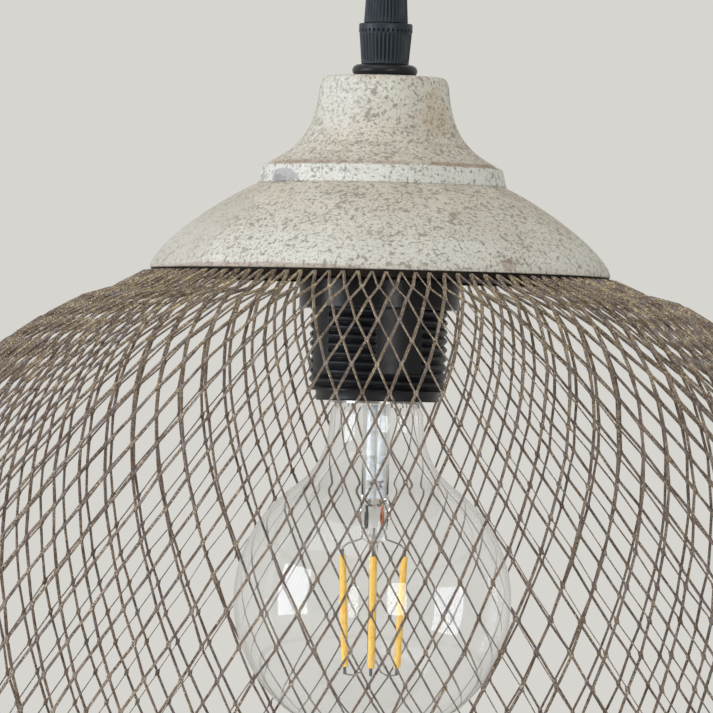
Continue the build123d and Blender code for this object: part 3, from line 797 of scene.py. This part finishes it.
def cord_grip():
    lip_low, lip_high, lip_r = 70.0, 72.7, 7.8
    notch_level, notch_half, notch_depth, notch_count = 70.6, 0.42, 0.75, 34
    foot = 60.7
    seat, seat_r = 71.2, 4.7
    spigot_top, spigot_r = 80.0, 5.3
    body_ribs = ribs(38, 0.5, foot + 0.5, lip_low - 0.2)

    def body_shape(r, angle, z):
        if r < 6.5:
            return r
        if z < lip_low - 0.05:
            return body_ribs(r, angle, z)
        notch = max(0.0, math.cos(notch_count * angle)) ** 0.5
        near_notch = max(0.0, 1 - abs(z - notch_level) / notch_half)
        return r - notch_depth * notch * near_notch

    outline = [(NIPPLE_HOLE_R, foot), (6.7, foot), (6.9, foot + 0.25), (6.92, foot + 0.6)]
    outline += [(6.92 + 0.68 * t, foot + 0.6 + 8.1 * t) for t in np.linspace(0.1, 1, 9)]
    outline += [(7.6, lip_low - 0.25), (7.62, lip_low), (7.78, lip_low + 0.08)]
    outline += [(lip_r, z) for z in (70.3, 70.45, notch_level, 70.75, 70.95, seat, 72.3)]
    outline += arc_points((7.4, 72.3), 0.4, 0, 90, 5)
    outline += [(spigot_r, lip_high), (spigot_r, spigot_top), (seat_r, spigot_top), (seat_r, seat)]
    outline += [(4.2, seat), (4.2, 67.0), (NIPPLE_HOLE_R, 67.0)]
    vertices, faces = turned(outline, body_shape, 408)
    add_piece("grip_body", vertices, faces, grip_black, "lamp", ["cord_grip_body"])

    top, nut_bore = 90.0, 5.35
    nut_ribs = ribs(36, 0.38, 73.2, 88.6, 0.8)

    def nut_shape(r, angle, z):
        outside = r > 4.9 and abs(r - nut_bore) >= 0.01
        return nut_ribs(r, angle, z) if outside else r

    side = [(6.4, 73.0), (6.1, 78.8), (5.7, 87.0), (5.45, 88.8)]
    outline = [(nut_bore, 72.9), (6.25, 72.9)]
    for (r0, z0), (r1, z1) in zip(side, side[1:]):
        outline += [(r0 + (r1 - r0) * t, z0 + (z1 - z0) * t) for t in np.linspace(0, 1, 7)[:-1]]
    outline += arc_points((4.25, 88.8), 1.2, 0, 90, 8)
    outline += [(3.5, top), (3.3, top - 0.2), (3.3, 83.9), (4.75, 83.9), (nut_bore, 81.0)]
    vertices, faces = turned(outline, nut_shape, 360)
    add_piece("grip_nut", vertices, faces, grip_black, "lamp", ["cord_grip_nut"])

    outline = [(NIPPLE_HOLE_R, CAP_TOP), (8.6, CAP_TOP), (9.15, 57.45)]
    outline += arc_points((7.9, 58.95), 1.6, -45, 60, 14)
    outline += [(8.2, 60.62), (7.7, 60.7), (NIPPLE_HOLE_R, 60.7)]
    vertices, faces = turned(outline)
    add_piece("bead_collar", vertices, faces, holder_black, "lamp", ["grip_bead_ring"])


# Lampholder -------------------------------------------------------------------------------------


THREAD_R = 20.1
THREAD_TOP = -1.6
THREAD_FOOT = -34.4
WHOLE_TURNS_BELOW = -29.5
THREAD_PITCH = 2.6
THREAD_DEPTH = 1.0
PANEL_STEP = 0.35
WIDE_PANELS = (-71.5, 108.5)
WIDE_HALF = 20.5
NARROW_PANELS = (-151.0, 29.0)
NARROW_HALF = 13.0


def off_panel(angle):
    """Degrees from the nearest smooth panel's edge. There are two wide and two narrow panels."""
    turn = math.degrees(angle)
    gaps = []
    for middles, half in ((WIDE_PANELS, WIDE_HALF), (NARROW_PANELS, NARROW_HALF)):
        gaps += [abs((turn - middle + 180) % 360 - 180) - half for middle in middles]
    return min(gaps)


def holder_thread(r, angle, z):
    """Shade thread broken by smooth panels; the last turns run all the way round."""
    inside = r < THREAD_R - 0.6
    if inside or z > THREAD_TOP or z < THREAD_FOOT:
        return r
    full = z < WHOLE_TURNS_BELOW
    cut = 1.0 if full else min(max(off_panel(angle) / 1.2, 0), 1)
    phase = (z / THREAD_PITCH + angle / TURN) % 1
    crest = math.sin(math.pi * phase) ** 1.2
    ends = min(max(THREAD_TOP - z, 0), 1) * min(max((z - THREAD_FOOT) / 0.5, 0), 1)
    smooth_step = 0.0 if full else PANEL_STEP * (1 - cut)
    return r - THREAD_DEPTH * (1 - crest) * cut * ends - smooth_step


def lampholder():
    collar_r, lip_r, lip_bore, bore = 18.6, 18.0, 15.6, 17.9
    thread_low, foot = -34.5, -37.4
    outline = [(bore, 7.0), (collar_r, 7.0), (collar_r, 3.0), (22.5, 3.0), (22.5, 0.0), (THREAD_R, 0.0)]
    outline += [(THREAD_R, z) for z in np.linspace(-0.8, thread_low + 0.1, 176)]
    outline += [(19.9, thread_low), (18.2, thread_low), (lip_r, thread_low - 0.2), (lip_r, foot + 0.5)]
    outline += arc_points((lip_r - 0.5, foot + 0.5), 0.5, 0, -90, 5)
    outline += arc_points((lip_bore + 0.5, foot + 0.5), 0.5, -90, -180, 5)
    outline += [(lip_bore, -33.5), (bore, -31.5), (bore, -12.0), (14.6, -12.0), (14.6, -10.0), (bore, -10.0)]
    vertices, faces = turned(outline[::-1], holder_thread, 360)
    add_piece("holder_skirt", vertices, faces, holder_black, "lamp", ["lampholder_body"], 50)

    low, high, ring_r = -10.6, -1.5, 23.35
    outline = [(20.15, low), (ring_r - 0.6, low)]
    outline += arc_points((ring_r - 0.6, low + 0.6), 0.6, -90, 0, 5)
    outline += [(ring_r, z) for z in np.linspace(low + 1.0, high - 1.0, 8)]
    outline += arc_points((ring_r - 0.5, high - 0.5), 0.5, 0, 90, 5)
    outline += [(20.15, high)]
    vertices, faces = turned(outline)
    add_piece("holder_ring", vertices, faces, gloss_black, "lamp", ["shade_ring"])


# Bulb -------------------------------------------------------------------------------------------


GLASS_WALL = 0.4


def globe_profile(wall):
    """One face of the glass, from its seat in the cap to the bottom."""
    radius = 40.5 - wall
    centre = -95.5
    angle = math.radians(36)
    joint = (radius * math.sin(angle), centre + radius * math.cos(angle))
    blend = (joint[0] - 9 * math.cos(angle), joint[1] + 9 * math.sin(angle))
    neck = (13.6 - wall, -41.0)
    seat = [(12.3 - wall, -27.5), (12.3 - wall, -38.0), (12.7 - wall, -39.2)]
    shoulder = curve_points([neck, (13.6 - wall, -51.0), blend, joint], 26)
    ball = arc_points((0, centre), radius, 54, -90, 64)[1:]
    ball[-1] = (0.0, ball[-1][1])
    return seat + shoulder + ball


def bulb_glass():
    outer = globe_profile(0.0)
    inner = globe_profile(GLASS_WALL)
    vertices, faces = turned_on_axis(inner[::-1] + outer)
    add_piece("globe", vertices, faces, glass, "bulb", ["bulb_globe"], 60)

    tube_r, bore_r = 4.0, 3.2
    flare = curve_points([(11.3, -27.5), (5.2, -28.5), (tube_r, -31.0), (tube_r, -36.0)], 14)
    flare_in = curve_points([(10.5, -27.5), (4.4, -27.9), (bore_r, -30.5), (bore_r, -36.0)], 14)
    outer = flare + [(tube_r, -50.0), (tube_r, -66.5), (3.9, -68.6), (3.5, -70.4), (2.9, -72.4), (2.7, -76.0)]
    outer += [(2.9, -77.0), (2.4, -78.2), (1.3, -79.2), (1.2, -82.0)]
    outer += [(1.2, -112.4), (1.7, -113.0), (1.5, -113.7)]
    inner = flare_in + [(bore_r, -50.0), (bore_r, -65.0), (2.4, -67.4), (0.0, -68.4)]
    outline = inner[::-1] + outer + [(0.0, -113.9)]
    vertices, faces = turned_on_axis(outline, 64)
    flattened = []
    for x, y, z in vertices:
        pinch = min(max((-67.5 - z) / 2.4, 0), 1) * min(max((z + 78.6) / 2.0, 0), 1)
        flattened.append((x * (1 + 0.4 * pinch), y * (1 - 0.45 * pinch), z))
    add_piece("stem", flattened, faces, glass, "bulb", ["bulb_stem"], 60)


# The four filaments and their wires, as (radius, height)
FILAMENT_TOP = (9.0, -82.5)
FILAMENT_FOOT = (7.6, -115.0)
UPPER_LEAD = [(2.6, -74.5), (3.6, -77.6), (5.6, -78.3), (7.6, -79.0), (9.0, -80.2), (9.05, -82.4)]
LOWER_LEAD = [(1.55, -113.2), (3.0, -116.4), (5.0, -117.4), (6.9, -117.2), (7.5, -116.2), (7.6, -115.1)]


def filaments():
    rods, leads = [], []
    for index in range(4):
        angle = index * TURN / 4
        top, foot = (Vector(polar(r, angle, z)) for r, z in (FILAMENT_TOP, FILAMENT_FOOT))
        rods.append(bar([top.lerp(foot, t) for t in np.linspace(0, 1, 14)], 1.05, 14))
        leads.append(bar([polar(r, angle, z) for r, z in UPPER_LEAD], 0.28, 8))
        leads.append(bar([polar(r, angle, z) for r, z in LOWER_LEAD], 0.24, 8))
    vertices, faces = joined(rods)
    add_piece("filament_rods", vertices, faces, phosphor(), "bulb", ["led_filaments"])
    vertices, faces = joined(leads)
    add_piece("lead_wires", vertices, faces, lead_wire, "bulb", ["filament_leads"])
    for name, side, material in (("dark_seal", -1, dark_wire), ("copper_seal", 1, copper)):
        upper = bar([(side * 1.6, 0, -66.4), (side * 1.9, 0, -68.0), (side * 2.1, 0, -70.4)], 0.34, 8)
        lower = bar([(side * 2.1, 0, -69.6), (side * 2.2, 0, -72.4), (side * 2.2, 0, -74.6)], 0.6, 10)
        vertices, faces = joined([upper, lower])
        add_piece(name, vertices, faces, material, "bulb")
    tabs = []
    for index in range(4):
        angle = index * TURN / 4
        tabs.append(bar([polar(9.04, angle, -80.7), polar(9.0, angle, -82.7)], 0.5, 8))
        tabs.append(bar([polar(7.6, angle, -114.8), polar(7.55, angle, -117.2)], 0.45, 8))
    vertices, faces = joined(tabs)
    add_piece("filament_tabs", vertices, faces, dark_wire, "bulb")
    # Painted highlights: two white strips down the stem where the glass shows bright vertical reflections
    highlight_strips = []
    for side in (-1.45, 1.5):
        heights = np.linspace(-38.5, -65.8, 12)
        path = [(side + 0.12 * math.sin(z * 0.4 + side), 0.1 * math.cos(z * 0.3), z) for z in heights]
        highlight_strips.append(bar(path, 1.35, 20))
    vertices, faces = joined(highlight_strips)
    add_piece("stem_highlight_strips", vertices, faces, stem_highlight_paint(), "bulb")


def bulb_cap():
    """E27 cap with its rolled thread."""
    pitch, depth = 3.629, 0.75
    low, high = -38.0, -17.5
    wall = 0.4

    def rolled(r, angle, z):
        if r < 12.0:
            return r
        phase = z / pitch - angle / TURN
        ends = min(max((z + 36.2) / 1.6, 0), 1) * min(max((high - z) / 1.2, 0), 1)
        return r - depth * ends * (0.5 + 0.5 * math.cos(TURN * phase))

    side = [(13.1, z) for z in np.linspace(low, high, 60)]
    inner = [(r - wall, z) for r, z in side]
    top = [(12.4, -16.6), (11.0, -15.5), (10.6, -15.5), (12.0, -16.9)]
    vertices, faces = turned(side + top + inner[::-1], rolled)
    add_piece("screw_cap", vertices, faces, nickel, "bulb", ["bulb_screw_cap"], 60)


# Build ------------------------------------------------------------------------------------------


bronze = bronze_paint("antique_bronze")
bronze_rim = bronze_paint("antique_bronze_rim")
# Painted shade: the carrier plate is nearly black and stands in for the shadow under the dome cap
painted_shade_plate = bronze_paint("bronze_in_painted_shade", 0.05)
grip_black = black_plastic("grip_black", (0.4, 0.52), (24, 35, 45), 0.45)
gloss_black = black_plastic("gloss_black", (0.2, 0.3), (15, 16, 19))
holder_black = black_plastic("holder_black", (0.3, 0.42), (20, 22, 26))
glass = clear_glass()
nickel = metal("nickel_plate", srgb(200, 198, 193), (0.18, 0.32), (1, 1, 0.2))
lead_wire = metal("lead_wire", srgb(176, 170, 160), (0.25, 0.4))
dark_wire = metal("dark_wire", srgb(104, 106, 102), (0.35, 0.5))
copper = metal("copper", srgb(196, 120, 84), (0.25, 0.4))
zinc = metal("zinc_plate", srgb(190, 191, 190), (0.3, 0.45))
brass = metal("brass", srgb(206, 170, 98), (0.22, 0.38))
solder = metal("solder", srgb(186, 188, 190), (0.4, 0.6))

CAD_FINISH = {
    "cord_grip_insert": plain_solid("grey_rubber", srgb(90, 90, 90), srgb(110, 110, 110), 0.75),
    "hollow_nipple": zinc,
    "lock_nuts": zinc,
    "lock_washers": zinc,
    "earth_tag": brass,
    "shade_carrier": painted_shade_plate,
    "lampholder_cap": holder_black,
    "lampholder_core": plain_solid("steatite", srgb(222, 217, 205), srgb(236, 232, 222), 0.5),
    "screw_shell": brass,
    "centre_contact": brass,
    "shell_contact": brass,
    "terminal_blocks": brass,
    "terminal_screws": zinc,
    "bulb_insulator": plain_solid("black_glass", srgb(24, 24, 28), srgb(34, 34, 40), 0.12),
    "bulb_tip_contact": solder,
    "bulb_driver_board": plain_solid("solder_mask", srgb(38, 92, 58), srgb(52, 112, 72), 0.4, 700),
}


def main():
    add_camera()
    add_studio()
    for node, material in CAD_FINISH.items():
        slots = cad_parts[node].data.materials
        slots.clear()
        slots.append(material)
    mesh_shade()
    shade_hem()
    upper_cap()
    lower_cap()
    cord_grip()
    lampholder()
    bulb_glass()
    filaments()
    bulb_cap()


main()
